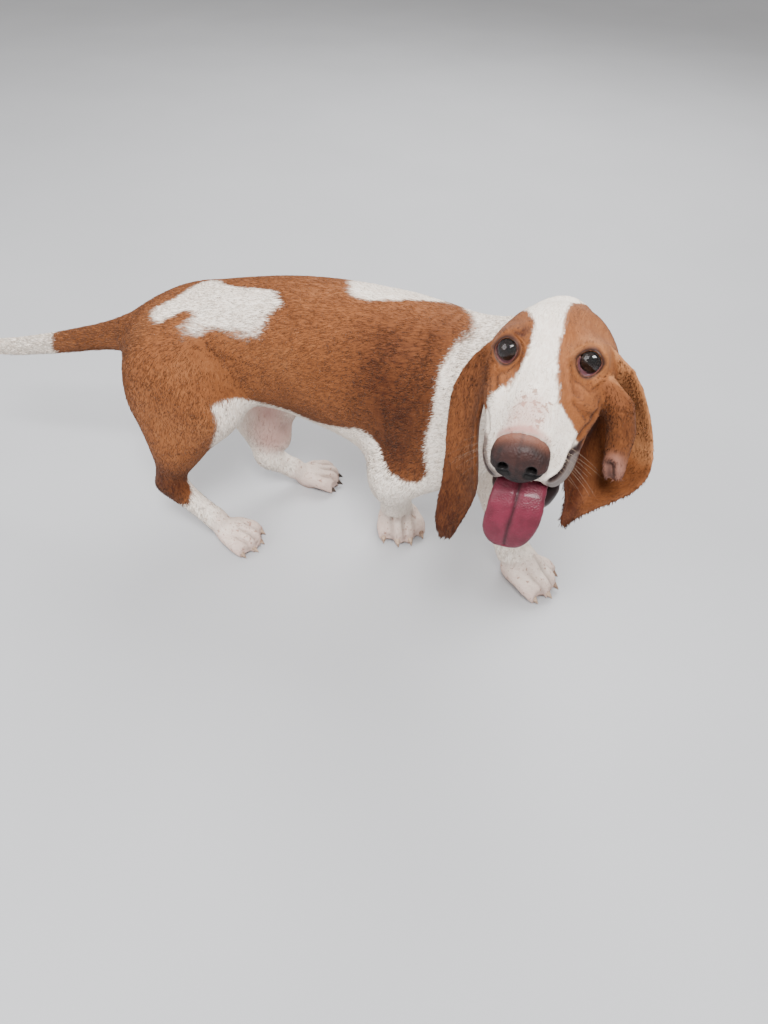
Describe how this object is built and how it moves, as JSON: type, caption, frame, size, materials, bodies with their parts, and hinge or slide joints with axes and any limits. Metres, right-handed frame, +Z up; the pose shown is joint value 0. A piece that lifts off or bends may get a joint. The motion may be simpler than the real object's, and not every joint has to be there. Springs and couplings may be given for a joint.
{
  "type": "basset hound",
  "caption": "Life-size still model of a basset hound standing with its head turned to its right, mouth open, tongue out and long ears hanging",
  "frame": {"origin": "middle of the box that the animal fills, on the floor under its paws", "axes": "+X forward along the trunk, +Y to the animal's left, +Z up"},
  "size_m": [0.8706, 0.4001, 0.4423],
  "materials": {
    "coat": "short dense hair, red tan and white",
    "nose": "damp, finely pebbled",
    "eye": "wet, dark brown",
    "tongue": "moist, soft",
    "claw": "horn, satin",
    "mouth": "moist, dark",
    "whisker": "stiff hair"
  },
  "bodies": {
    "root": {"loin": "coat", "chest": "coat", "tail": "coat", "tail_tip": "coat", "neck": "coat", "head": "coat", "thigh_right": "coat", "thigh_left": "coat", "hock_right": "coat", "hock_left": "coat", "foreleg_right": "coat", "foreleg_left": "coat", "paw_hind_right": "coat", "paw_hind_left": "coat", "paw_fore_right": "coat", "paw_fore_left": "coat", "lower_jaw": "coat", "ear_right": "coat", "ear_left": "coat", "nose": "nose", "eye_right": "eye", "eye_left": "eye", "tongue": "tongue"}
  },
  "joints": []
}
